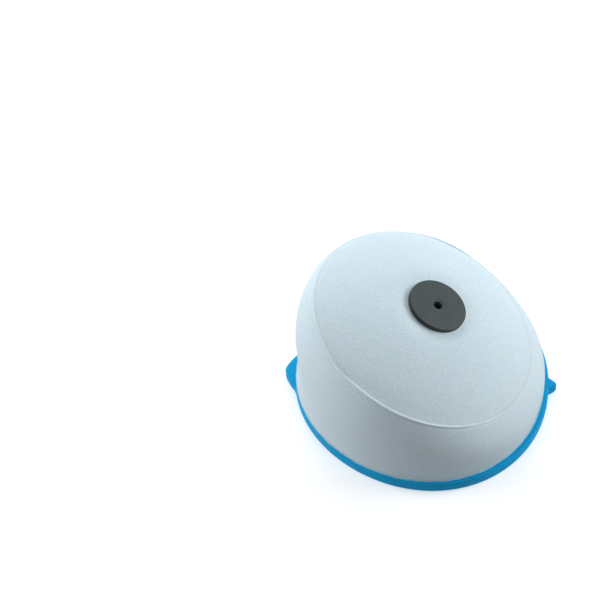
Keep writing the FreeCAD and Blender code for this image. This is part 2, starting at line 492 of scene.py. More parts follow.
@dataclass(frozen=True)
class OpenCellFoam:
    """Open-cell foam: a mesh of tiny struts with a pit in each cell, each pit coloured darker as painted
    shade.

    Attributes:
        name: Name of the finish.
        strut: Colour of the struts.
        pit: Colour in the pits, darker than the struts: painted shade in each pit.
        stain: Colour of the faint uneven tint.
        cell: Distance between two cells.
        pit_depth: Depth of the pits.
        softness: How much light passes through the struts.
        unevenness: How uneven the spacing of the cells is, from 0 to 1.
        pit_edges: Where a pit starts and ends, from the middle of its cell.
        fuzz_scale: How many times finer than the cells the struts' fuzz is.
        fuzz_depth: Depth of the fuzz, as a share of the pits' depth.
        stain_scale: How close together the stains are.
        stain_edges: Where a stain starts and ends, in its noise.
        stain_share: How strong the stains are.
        sheen: How much the struts shine.
        roughness: Least and most roughness of the struts.
        light_depth: How deep red, green and blue light pass into the foam.
    """

    name: str
    strut: Colour
    pit: Colour
    stain: Colour
    cell: float
    pit_depth: float
    softness: float
    unevenness: float = 0.85
    pit_edges: Pair = (0.12, 0.62)
    fuzz_scale: float = 2.5
    fuzz_depth: float = 0.5
    stain_scale: float = 22.0
    stain_edges: Pair = (0.35, 0.68)
    stain_share: float = 0.35
    sheen: float = 0.25
    roughness: Pair = (0.82, 0.98)
    light_depth: tuple[float, float, float] = (3.0 * MM, 3.2 * MM, 3.6 * MM)

    def make(self) -> bpy.types.Material:
        """Builds the material.

        Returns:
            The finished material.
        """
        n = NodeTree(self.name)
        pits = n.spread(n.cells(1.0 / self.cell, self.unevenness), self.pit_edges)
        fine = n.noise(self.fuzz_scale / self.cell, detail=2.0)
        drift = n.spread(n.noise(self.stain_scale, detail=4.0, roughness=0.55), self.stain_edges)
        struts = n.blend(n.sum(drift, self.stain_share, "MULTIPLY"), self.strut, self.stain)
        relief = n.bump(pits, self.pit_depth, strength=0.55)
        return n.finish(
            # The pits take the darker pit colour, which is painted shade in each cell's pit.
            Base_Color=n.blend(pits, self.pit, struts),
            Roughness=n.spread(fine, (0.0, 1.0), self.roughness),
            Normal=n.bump(fine, self.pit_depth * self.fuzz_depth, strength=0.3, under=relief),
            Specular_IOR_Level=self.sheen,
            Subsurface_Weight=self.softness,
            Subsurface_Radius=self.light_depth,
            Subsurface_Scale=1.0,
        )


@dataclass(frozen=True)
class SkinnedFoam:
    """Closed-cell foam with a soft dense skin.

    Attributes:
        name: Name of the finish.
        colour: Colour of the skin.
        shade: Colour where the skin is thinner, and in the fine cells' pits as painted shade.
        cell: Size of the fine cells that show through the skin.
        cell_edges: Where a fine cell starts and ends, from its middle.
        cell_depth: Depth of the fine cells.
        cell_share: How much the skin between the fine cells moves away from the shade colour, which leaves
            painted shade in the cells' pits.
        shade_scale: How close together the thinner patches are.
        shade_edges: Where a thinner patch starts and ends, in its noise.
        dent_depth: Depth of the skin's wider dents.
        sheen: How much the skin shines.
        roughness: Least and most roughness of the skin.
        softness: How much light passes through the skin.
        light_depth: How deep red, green and blue light pass into the foam.
    """

    name: str
    colour: Colour
    shade: Colour
    cell: float
    cell_edges: Pair = (0.05, 0.6)
    cell_depth: float = 0.12 * MM
    cell_share: float = -0.25
    shade_scale: float = 30.0
    shade_edges: Pair = (0.3, 0.72)
    dent_depth: float = 0.4 * MM
    sheen: float = 0.15
    roughness: Pair = (0.55, 0.72)
    softness: float = 0.12
    light_depth: tuple[float, float, float] = (0.6 * MM, 1.2 * MM, 2.0 * MM)

    def make(self) -> bpy.types.Material:
        """Builds the material.

        Returns:
            The finished material.
        """
        n = NodeTree(self.name)
        grain = n.spread(n.cells(1.0 / self.cell), self.cell_edges)
        drift = n.spread(n.noise(self.shade_scale, detail=5.0, roughness=0.6), self.shade_edges)
        # Mix towards the darker colour: random thinner patches of skin, and painted shade in the fine
        # cells' pits.
        thinner = n.sum(n.sum(grain, self.cell_share, "MULTIPLY"), drift)
        relief = n.bump(grain, self.cell_depth, strength=0.35)
        return n.finish(
            Base_Color=n.blend(thinner, self.colour, self.shade),
            Roughness=n.spread(n.noise(90.0, detail=4.0), (0.3, 0.7), self.roughness),
            Normal=n.bump(n.noise(180.0), self.dent_depth, strength=0.25, under=relief),
            Specular_IOR_Level=self.sheen,
            Subsurface_Weight=self.softness,
            Subsurface_Radius=self.light_depth,
            Subsurface_Scale=1.0,
        )


@dataclass(frozen=True)
class CuredGlue:
    """Flexible contact glue, cured to a satin skin.

    Attributes:
        name: Name of the finish.
        colour: Colour of the glue.
        shade: Colour where it is thick.
        roughness: Least roughness of its skin.
        rougher: What the thick places add to the roughness.
        ripple: Height of the ripples in its skin.
        softness: How much light passes through it.
        light_depth: How deep red, green and blue light pass into it.
    """

    name: str
    colour: Colour
    shade: Colour
    roughness: float
    rougher: float = 0.2
    ripple: float = 0.15 * MM
    softness: float = 0.2
    light_depth: tuple[float, float, float] = (1.5 * MM, 1.7 * MM, 2.0 * MM)

    def make(self) -> bpy.types.Material:
        """Builds the material.

        Returns:
            The finished material.
        """
        n = NodeTree(self.name)
        drift = n.spread(n.noise(160.0, detail=4.0, roughness=0.6), (0.3, 0.7))
        return n.finish(
            Base_Color=n.blend(drift, self.colour, self.shade),
            Roughness=n.spread(drift, (0.0, 1.0), (self.roughness, self.roughness + self.rougher)),
            Normal=n.bump(n.noise(700.0), self.ripple, strength=0.4),
            Subsurface_Weight=self.softness,
            Subsurface_Radius=self.light_depth,
            Subsurface_Scale=1.0,
        )


@dataclass(frozen=True)
class MouldedPlastic:
    """Moulded plastic with a fine matt grain and faint rubbed patches.

    Attributes:
        name: Name of the finish.
        colour: Colour of the plastic.
        scuff: Colour of the faint rubbed patches.
        roughness: Roughness of the grain.
        scuff_scale: How close together the rubbed patches are.
        scuff_edges: Where a rubbed patch starts and ends, in its noise.
        scuff_share: How strong the rubbed patches are.
        polish: How much smoother the rubbed patches are.
        grain_scale: How fine the grain is.
        grain_height: Height of the grain.
        warp: Height of the slow unevenness that moulding leaves.
        sheen: How much the plastic shines.
    """

    name: str
    colour: Colour
    scuff: Colour
    roughness: float
    scuff_scale: float = 70.0
    scuff_edges: Pair = (0.42, 0.72)
    scuff_share: float = 0.6
    polish: float = 0.1
    grain_scale: float = 2600.0
    grain_height: float = 0.06 * MM
    warp: float = 0.25 * MM
    sheen: float = 0.42

    def make(self) -> bpy.types.Material:
        """Builds the material.

        Returns:
            The finished material.
        """
        n = NodeTree(self.name)
        patches = n.spread(n.noise(self.scuff_scale, detail=5.0, roughness=0.62), self.scuff_edges)
        relief = n.bump(n.noise(self.grain_scale, detail=2.0), self.grain_height, strength=0.45)
        return n.finish(
            Base_Color=n.blend(n.sum(patches, self.scuff_share, "MULTIPLY"), self.colour, self.scuff),
            Roughness=n.spread(patches, (0.0, 1.0), (self.roughness, self.roughness - self.polish)),
            Normal=n.bump(n.noise(120.0), self.warp, strength=0.12, under=relief),
            Specular_IOR_Level=self.sheen,
        )


@dataclass(frozen=True)
class PaleFloor:
    """A plain pale floor, lit a little of its own as a light table is, and clear when seen from under.

    Attributes:
        name: Name of the finish.
        colour: Colour of the floor.
        glow: Strength of its own light.
        roughness: Least and most roughness.
    """

    name: str = "pale_floor"
    colour: Colour = (0.94, 0.94, 0.94, 1.0)
    glow: float = 0.45
    roughness: Pair = (0.88, 0.92)

    def make(self) -> bpy.types.Material:
        """Builds the material.

        Returns:
            The finished material.
        """
        n = NodeTree(self.name)
        from_under = n.add("ShaderNodeNewGeometry").outputs["Backfacing"]
        return n.finish(
            Base_Color=self.colour,
            Roughness=n.spread(n.noise(1.5, detail=2.0), (0.3, 0.7), self.roughness),
            Emission_Color=self.colour,
            Emission_Strength=self.glow,
            Alpha=n.sum(1.0, from_under, "SUBTRACT"),
        )


class Finish(Enum):
    """The finishes of the filter's pieces."""

    COARSE_FOAM = OpenCellFoam(
        "coarse_white_foam",
        strut=(0.75, 0.86, 0.92, 1.0),
        # Darker pit colour: painted shade in the coarse foam's pits.
        pit=(0.61, 0.73, 0.79, 1.0),
        stain=(0.70, 0.82, 0.88, 1.0),
        cell=0.9 * MM,
        pit_depth=0.15 * MM,
        softness=0.25,
    )
    FINE_FOAM = OpenCellFoam(
        "fine_blue_foam",
        strut=(0.004, 0.46, 0.62, 1.0),
        # Darker pit colour: painted shade in the fine foam's pits.
        pit=(0.002, 0.28, 0.41, 1.0),
        stain=(0.004, 0.40, 0.56, 1.0),
        cell=0.5 * MM,
        pit_depth=0.16 * MM,
        softness=0.1,
    )
    FLANGE_FOAM = SkinnedFoam(
        "blue_flange_foam",
        colour=(0.002, 0.40, 0.76, 1.0),
        shade=(0.002, 0.34, 0.68, 1.0),
        cell=0.55 * MM,
    )
    SEAM_GLUE = CuredGlue(
        "white_seam_glue",
        colour=(0.80, 0.89, 0.94, 1.0),
        shade=(0.70, 0.79, 0.84, 1.0),
        roughness=0.6,
    )
    LINING_GLUE = CuredGlue(
        "dark_lining_glue",
        colour=(0.002, 0.09, 0.14, 1.0),
        shade=(0.002, 0.06, 0.10, 1.0),
        roughness=0.45,
    )
    # The foot glue's pale cyan colour is a painted highlight along the wall's foot; the glue itself is
    # clear.
    FOOT_GLUE = CuredGlue(
        "foot_glue_painted_highlight",
        colour=(0.45, 0.74, 0.86, 1.0),
        shade=(0.25, 0.58, 0.75, 1.0),
        roughness=0.35,
    )
    WASHER = MouldedPlastic(
        "grey_washer_plastic",
        colour=(0.052, 0.068, 0.066, 1.0),
        scuff=(0.070, 0.088, 0.086, 1.0),
        roughness=0.6,
    )
    # A darker copy of the washer plastic for its edge band: painted shade, not a colour of the plastic.
    WASHER_EDGE_SHADE = MouldedPlastic(
        "washer_edge_painted_shade",
        colour=(0.010, 0.015, 0.013, 1.0),
        scuff=(0.016, 0.022, 0.020, 1.0),
        roughness=0.45,
    )
    BUSH = MouldedPlastic(
        "black_bush_plastic",
        colour=(0.022, 0.021, 0.020, 1.0),
        scuff=(0.035, 0.033, 0.031, 1.0),
        roughness=0.5,
    )
    FLOOR = PaleFloor()


@dataclass
class Dresser:
    """Makes each finish once and puts it on pieces.

    Attributes:
        made: The materials made so far.
    """

    made: dict[Finish, bpy.types.Material] = field(default_factory=dict)

    def material(self, finish: Finish) -> bpy.types.Material:
        """The material of a finish, made on first use.

        Args:
            finish: The finish.

        Returns:
            Its material.
        """
        if finish not in self.made:
            self.made[finish] = finish.value.make()
        return self.made[finish]

    def dress(self, piece: bpy.types.Object, finish: Finish) -> None:
        """Gives a piece one finish."""
        piece.data.materials.clear()
        piece.data.materials.append(self.material(finish))


def fit_piece(
    piece: bpy.types.Object, node: str
) -> bpy.types.Object:
    """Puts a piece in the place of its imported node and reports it.

    Args:
        piece: The finished piece.
        node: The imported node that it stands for.

    Returns:
        The piece.
    """
    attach(piece, BODY)
    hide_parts(node)
    LOG.info("%s stands for %s, %d vertices", piece.name, node, len(piece.data.vertices))
    return piece


# ---------------------------------------------------------------------------------------------------------
# Pieces
# ---------------------------------------------------------------------------------------------------------


@dataclass(frozen=True)
class Ear:
    """A three-cornered locating ear on the flange.

    Attributes:
        direction: Direction of the tip, in degrees from +X.
        reach: How far its straight flanks would meet past the flange.
        half_width: Half its width where the flanks start.
        tip_softness: How far the tip is rounded.
        root_softness: How far the roots are rounded.
        tip_cut: Share of the tip's rounding that is given back to its width.
    """

    direction: float
    reach: float
    half_width: float
    tip_softness: float
    root_softness: float
    tip_cut: float = 0.55

    def height(self, angles: np.ndarray, radius: float) -> np.ndarray:
        """How far the ear stands out at each angle.

        Args:
            angles: Angles round the flange, in radians.
            radius: The flange's radius.

        Returns:
            The extra radius at each angle.
        """
        away = (angles - math.radians(self.direction) + math.pi) % TAU - math.pi
        across = np.sqrt((away * radius) ** 2 + self.tip_softness**2) - self.tip_softness * self.tip_cut
        flank = self.reach * (1.0 - across / self.half_width)
        return 0.5 * (flank + np.sqrt(flank**2 + self.root_softness**2))


def flat_ring(radius: Along, height: Along, angles: np.ndarray) -> np.ndarray:
    """Points of a level ring about the mouth's axis."""
    one = np.ones_like(angles)
    return np.stack([radius * np.cos(angles), radius * np.sin(angles), height * one], axis=1)


def divided(profile: Sequence[Pair], step: float) -> list[Pair]:
    """Divides the long flat runs of a closed profile.

    Args:
        profile: The profile's points.
        step: About how long each step is.

    Returns:
        The points with the new ones between them.
    """
    points: list[Pair] = []
    for i, start in enumerate(profile):
        end = profile[(i + 1) % len(profile)]
        count = max(1, round(math.dist(start, end) / step))
        for k in range(count):
            t = k / count
            points.append((start[0] + (end[0] - start[0]) * t, start[1] + (end[1] - start[1]) * t))
    return points


LARGE_EAR = Ear(
    direction=181.7,
    reach=8.6 * MM,
    half_width=13.5 * MM,
    tip_softness=3.4 * MM,
    root_softness=1.4 * MM,
)
SMALL_EAR = Ear(
    direction=1.4,
    reach=6.4 * MM,
    half_width=4.6 * MM,
    tip_softness=1.0 * MM,
    root_softness=0.5 * MM,
)


@dataclass
class SealingFlange:
    """The soft blue flange.

    Attributes:
        outline: How far it is out of round.
        node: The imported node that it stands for.
        edge_round: Rounding of the outer edges.
        lip_round: Rounding of the mouth's edges.
        spread: How quickly the outline's unevenness fades towards the mouth.
        dips: Depth of the hollows that the knife and the glue leave on its upper face.
        dip_spacing: Distance between two hollows.
        across: Steps across its flat faces.
        around: Points round the flange.
        ears: The locating ears.
    """

    outline: HandCutOutline
    node: str = "sealing_flange"
    edge_round: float = 1.4 * MM
    lip_round: float = 1.1 * MM
    spread: float = 3.0
    dips: float = 0.25 * MM
    dip_spacing: float = 28.0 * MM
    across: int = 20
    around: int = 900
    ears: tuple[Ear, ...] = (LARGE_EAR, SMALL_EAR)

    def build(self) -> bpy.types.Object:
        """Builds the flange as one closed ring.

        Returns:
            The flange.
        """
        low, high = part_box(self.node)
        mouth = mount("mouth")["dims"]["r_mm"] * MM
        rim = min(high.y, -low.y)
        angles = even_angles(self.around)
        outer = rim * self.outline.share(angles) + sum(ear.height(angles, rim) for ear in self.ears)
        corners = [
            (mouth, low.z, self.lip_round),
            (rim, low.z, self.edge_round),
            (rim, high.z, self.edge_round),
            (mouth, high.z, self.lip_round),
        ]
        width = rim - mouth
        rings = []
        for radius, height in divided(rounded_profile(corners), width / self.across):
            share = max(0.0, (radius - mouth) / width)
            out = radius + (outer - rim) * share**self.spread
            ring = flat_ring(out, height, angles)
            if height > 0.5 * (low.z + high.z):
                ring[:, 2] += self._hollows(ring) * math.sin(math.pi * min(share, 1.0))
            rings.append(ring)
        return ring_mesh("flange_ring", rings)

    def _hollows(self, points: np.ndarray) -> np.ndarray:
        """Depth of the shallow hollows at each point, always below the flat face."""
        return np.array([-abs(noise.noise(Vector(p) / self.dip_spacing)) for p in points]) * self.dips

    def dress(self, dresser: Dresser) -> bpy.types.Object:
        """Builds, finishes and fits the flange.

        Args:
            dresser: Where the finishes come from.

        Returns:
            The flange.
        """
        piece = self.build()
        dresser.dress(piece, Finish.FLANGE_FOAM)
        return fit_piece(piece, self.node)


@dataclass
class FoamStage:
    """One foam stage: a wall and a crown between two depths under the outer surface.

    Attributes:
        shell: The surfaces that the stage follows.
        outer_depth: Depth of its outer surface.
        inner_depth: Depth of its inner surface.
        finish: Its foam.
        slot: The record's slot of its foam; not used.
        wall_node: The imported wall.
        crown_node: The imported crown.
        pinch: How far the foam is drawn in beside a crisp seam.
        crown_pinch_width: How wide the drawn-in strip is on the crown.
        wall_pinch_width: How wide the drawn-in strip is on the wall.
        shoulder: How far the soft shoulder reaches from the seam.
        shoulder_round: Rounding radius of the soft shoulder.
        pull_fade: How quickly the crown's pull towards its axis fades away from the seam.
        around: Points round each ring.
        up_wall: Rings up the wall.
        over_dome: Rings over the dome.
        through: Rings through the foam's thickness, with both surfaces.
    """

    shell: FoamShell
    outer_depth: float
    inner_depth: float
    finish: Finish
    slot: str
    wall_node: str
    crown_node: str
    pinch: float = 0.9 * MM
    crown_pinch_width: float = 8.0 * MM
    wall_pinch_width: float = 2.0 * MM
    shoulder: float = 10.0 * MM
    shoulder_round: float = 34.0 * MM
    pull_fade: int = 6
    around: int = 360
    up_wall: int = 64
    over_dome: int = 72
    through: int = 8

    def pull(self, from_seam: float, pinch_width: float, angles: np.ndarray) -> np.ndarray:
        """How far the outer surface is drawn in beside the seam.

        Args:
            from_seam: Distance from the seam.
            pinch_width: How wide the drawn-in strip is.
            angles: Angle of each point, in radians.

        Returns:
            The pull at each angle.
        """
        soft = self.shell.softness(angles)
        crease = self.pinch * math.exp(-((from_seam / pinch_width) ** 2))
        rounding = max(0.0, self.shoulder - from_seam) ** 2 / (2.0 * self.shoulder_round)
        share = 1.0 if self.pinch else 0.0
        return share * (crease * (1.0 - soft) + rounding * soft)

    def drawn_in(
        self, points: np.ndarray, from_seam: float, pinch_width: float, angles: np.ndarray
    ) -> np.ndarray:
        """Depth of the outer surface at each point, with its pull and its waves."""
        return self.outer_depth + self.pull(from_seam, pinch_width, angles) + self.shell.waves(points)

    def wall(self) -> bpy.types.Object:
        """Builds the wall as one closed ring of foam.

        Returns:
            The wall.
        """
        angles = even_angles(self.around)
        shell = self.shell
        foot, rim = shell.wall(self.outer_depth, 0.0, angles), shell.wall(self.outer_depth, 1.0, angles)
        height = float(np.linalg.norm(rim - foot, axis=1).mean())
        rings = []
        for station in smooth_steps(0.0, 1.0, self.up_wall):
            flat = shell.wall(self.outer_depth, station, angles)
            depth = self.drawn_in(flat, (1.0 - station) * height, self.wall_pinch_width, angles)
            rings.append(shell.wall(depth, station, angles))
        start = self.drawn_in(rim, 0.0, self.wall_pinch_width, angles)
        for share in smooth_steps(0.0, 1.0, self.through)[1:-1]:
            rings.append(shell.wall(start * (1.0 - share) + self.inner_depth * share, 1.0, angles))
        rings += [shell.wall(self.inner_depth, s, angles) for s in smooth_steps(1.0, 0.0, self.up_wall)]
        for depth in smooth_steps(self.inner_depth, self.outer_depth, self.through)[1:-1]:
            rings.append(shell.wall(depth, 0.0, angles))
        return ring_mesh(self.wall_node + "_skin", rings)

    def crown(self, profile: Profile) -> bpy.types.Object:
        """Builds the crown as one closed ring of foam about the crown's axis.

        Args:
            profile: Radius and height of each ring.

        Returns:
            The crown.
        """
        angles = even_angles(self.around)
        rings = [self.shell.crown.ring(radius, height, angles) for radius, height in profile]
        return ring_mesh(self.crown_node + "_skin", rings)

    def outer_dome(self, start: float, lowering: float, lowering_width: float) -> Profile:
        """Profile points over the outer surface of the dome.

        Args:
            start: Radius of the first point.
            lowering: How far the surface is lowered at the first point.
            lowering_width: How far out the lowering reaches.

        Returns:
            Radius and height of each point, for each angle.
        """
        angles = even_angles(self.around)
        rim = self.shell.crown.seam_radius - self.outer_depth
        points: Profile = []
        for radius in smooth_steps(start, rim, self.over_dome):
            flat = self.shell.crown.ring(radius, self.shell.dome(radius, self.outer_depth), angles)
            pull = self.drawn_in(flat, rim - radius, self.crown_pinch_width, angles) - self.outer_depth
            inward = radius - pull * (radius / rim) ** self.pull_fade
            near = lowering * math.exp(-(((radius - start) / lowering_width) ** 2))
            points.append((inward, self.shell.dome(inward, self.outer_depth + pull) - near))
        return points

    def mitre(self, start: tuple[Along, Along]) -> Profile:
        """Profile points down the mitred edge of the crown.

        Args:
            start: Radius and height of the outer surface's rim.

        Returns:
            Radius and height of each point on the way to the inner surface.
        """
        low_radius = self.shell.crown.seam_radius - self.inner_depth
        low_height = self.shell.dome(low_radius, self.inner_depth)
        points: Profile = []
        for share in smooth_steps(0.0, 1.0, self.through)[1:-1]:
            radius = start[0] * (1.0 - share) + low_radius * share
            height = start[1] * (1.0 - share) + low_height * share
            points.append((radius, height))
        return points

    def inner_dome(self, end: float) -> Profile:
        """Profile points over the inner surface of the dome, from the mitre in to this radius."""
        start = self.shell.crown.seam_radius - self.inner_depth
        return [(r, self.shell.dome(r, self.inner_depth)) for r in smooth_steps(start, end, self.over_dome)]


@dataclass
class Clamp:
    """The washer over the crown and the bush under it, with the seats that they press into the foam.

    Attributes:
        crown: The crown's frame.
        washer_radius: Radius of the washer.
        washer_low: Height of the washer's underside.
        washer_high: Height of the washer's top.
        bush_radius: Radius of the bush's flange.
        bush_low: Height of the bush's face.
        bush_thickness: Thickness of the bush's flange.
        tube_wall: Wall of the bush's tube.
        sunk: Depth of the sunk ring round the bolt hole.
        sunk_width: Width of the sunk ring.
        sunk_slope: Width of the slope round it.
        edge_band: Width of the band round the washer's edge that is painted darker, as painted shade on its
            rounded edge.
        around: Points round each ring.
    """

    crown: CrownFrame
    washer_radius: float
    washer_low: float
    washer_high: float
    bush_radius: float
    bush_low: float
    bush_thickness: float = 3.2 * MM
    tube_wall: float = 1.5 * MM
    sunk: float = 0.35 * MM
    sunk_width: float = 1.7 * MM
    sunk_slope: float = 0.5 * MM
    edge_band: float = 0.35 * MM
    around: int = 256

    @classmethod
    def from_frame(cls, crown: CrownFrame) -> "Clamp":
        """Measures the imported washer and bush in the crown's frame.

        Args:
            crown: The crown's frame.

        Returns:
            The clamp, with its sizes.
        """
        washer_radius, washer_low, washer_high = cls._extent(crown, "outer_washer")
        bush_radius, bush_low, _ = cls._extent(crown, "inner_bush")
        return cls(crown, washer_radius, washer_low, washer_high, bush_radius, bush_low)

    @staticmethod
    def _extent(crown: CrownFrame, node: str) -> tuple[float, float, float]:
        """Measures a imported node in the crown's frame.

        Args:
            crown: The crown's frame.
            node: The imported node.

        Returns:
            Its largest radius, lowest height and highest height.
        """
        back = crown.place.inverted()
        local = [back @ v.co for v in frame["nodes"][node].data.vertices]
        heights = [p.z for p in local]
        return max(math.hypot(p.x, p.y) for p in local), min(heights), max(heights)

    def turn(self, name: str, profile: Sequence[Pair]) -> bpy.types.Object:
        """Turns a closed profile about the crown's axis."""
        angles = even_angles(self.around)
        return ring_mesh(name, [self.crown.ring(radius, height, angles) for radius, height in profile])

    def tube_radius(self) -> float:
        """Outer radius of the bush's tube."""
        return mount("boss_socket")["dims"]["r_mm"] * MM + self.tube_wall

    def washer(self) -> bpy.types.Object:
        """Builds the outer washer.

        Returns:
            The washer.
        """
        hole = mount("bolt_hole")["dims"]["r_mm"] * MM
        top = self.washer_high
        sunk_edge = hole + self.sunk_width
        corners = [
            (hole, self.washer_low, 0.3 * MM),
            (self.washer_radius, self.washer_low, 0.5 * MM),
            (self.washer_radius, top, 0.6 * MM),
            (sunk_edge + self.sunk_slope, top, 0.25 * MM),
            (sunk_edge, top - self.sunk, 0.25 * MM),
            (hole, top - self.sunk, 0.35 * MM),
        ]
        return self.turn("clamp_washer", rounded_profile(corners))

    def bush(self) -> bpy.types.Object:
        """Builds the inner bush: a flange with a tube.

        Returns:
            The bush.
        """
        tube = self.tube_radius()
        bore = tube - self.tube_wall
        seat = self.bush_low + self.bush_thickness
        top = self.washer_low
        corners = [
            (bore, top, 0.2 * MM),
            (bore, self.bush_low, 0.6 * MM),
            (self.bush_radius, self.bush_low, 0.8 * MM),
            (self.bush_radius, seat, 0.4 * MM),
            (tube, seat, 0.3 * MM),
            (tube, top, 0.2 * MM),
        ]
        return self.turn("clamp_bush", rounded_profile(corners))

    def paint_edge_shade(self, washer: bpy.types.Object, dresser: Dresser) -> None:
        """Gives the band round the washer's edge a darker copy of the washer plastic, as painted shade on
        its rounded edge.

        Args:
            washer: The dressed washer.
            dresser: Where the finishes come from.
        """
        washer.data.materials.append(dresser.material(Finish.WASHER_EDGE_SHADE))
        back = self.crown.place.inverted()
        for polygon in washer.data.polygons:
            middle = back @ polygon.center
            # Faces near the rim take the darker material: painted shade on the washer's rounded edge.
            if math.hypot(middle.x, middle.y) > self.washer_radius - self.edge_band:
                polygon.material_index = 1

    def dress(self, dresser: Dresser) -> None:
        """Builds, finishes and fits the washer and the bush.

        Args:
            dresser: Where the finishes come from.
        """
        washer = self.washer()
        dresser.dress(washer, Finish.WASHER)
        self.paint_edge_shade(washer, dresser)
        fit_piece(washer, "outer_washer")
        bush = self.bush()
        dresser.dress(bush, Finish.BUSH)
        fit_piece(bush, "inner_bush")


@dataclass
class SeamBead:
    """An uneven bead of glue along a seam, which sinks in where the shoulder is soft and on the low side.

    Attributes:
        name: Name of the piece.
        shell: The surfaces that the seam lies on.
        depth: Depth of the seam under the outer surface.
        size: Radius of the bead where the seam is crisp.
        broad: How much wider it is beside the soft shoulder.
        proud: How far its middle stands off the seam where the seam is crisp.
        sink: How far it sinks where the shoulder is soft.
        low_side_sink: How far it sinks on the low side, where only a crease shows.
        low_side_start: Where the low side starts and how soon it is full, as cosines.
        unevenness: How uneven it is, as a share of its size.
        lumps: How close together its lumps are.
        lean_out: How much of its middle's height also goes outwards.
        flatness: Its height as a share of its width.
        around: Points along the bead.
        section: Points round its section.
    """

    name: str
    shell: FoamShell
    depth: float
    size: float
    broad: float
    proud: float
    sink: float
    low_side_sink: float = 0.0
    low_side_start: Pair = (0.3, 0.4)
    unevenness: float = 0.22
    lumps: float = 9.0
    lean_out: float = 0.6
    flatness: float = 0.8
    around: int = 540
    section: int = 16

    def build(self) -> bpy.types.Object:
        """Builds the bead as one closed ring.

        Returns:
            The bead.
        """
        angles = even_angles(self.around)
        soft = self.shell.softness(angles)
        between = 4.0 * soft * (1.0 - soft)
        radius = self.shell.crown.seam_radius - self.depth
        height = self.shell.dome(radius, self.depth)
        uneven = round_noise(angles, pattern=self.depth, scale=self.lumps)
        size = self.size * (1.0 + self.unevenness * uneven + (self.broad - 1.0) * between)
        middle = self.proud * (1.0 - soft) - self.sink * soft - 0.5 * self.size * between
        start, width = self.low_side_start
        low_side = eased((np.cos(angles - self.shell.crown.lean_direction) - start) / width)
        middle = middle - self.low_side_sink * low_side
        rings = []
        for turn in even_angles(self.section):
            out = radius + middle * self.lean_out + size * math.cos(turn)
            up = height + middle + self.flatness * size * math.sin(turn)
            rings.append(self.shell.crown.ring(out, up, angles))
        return ring_mesh(self.name, rings)


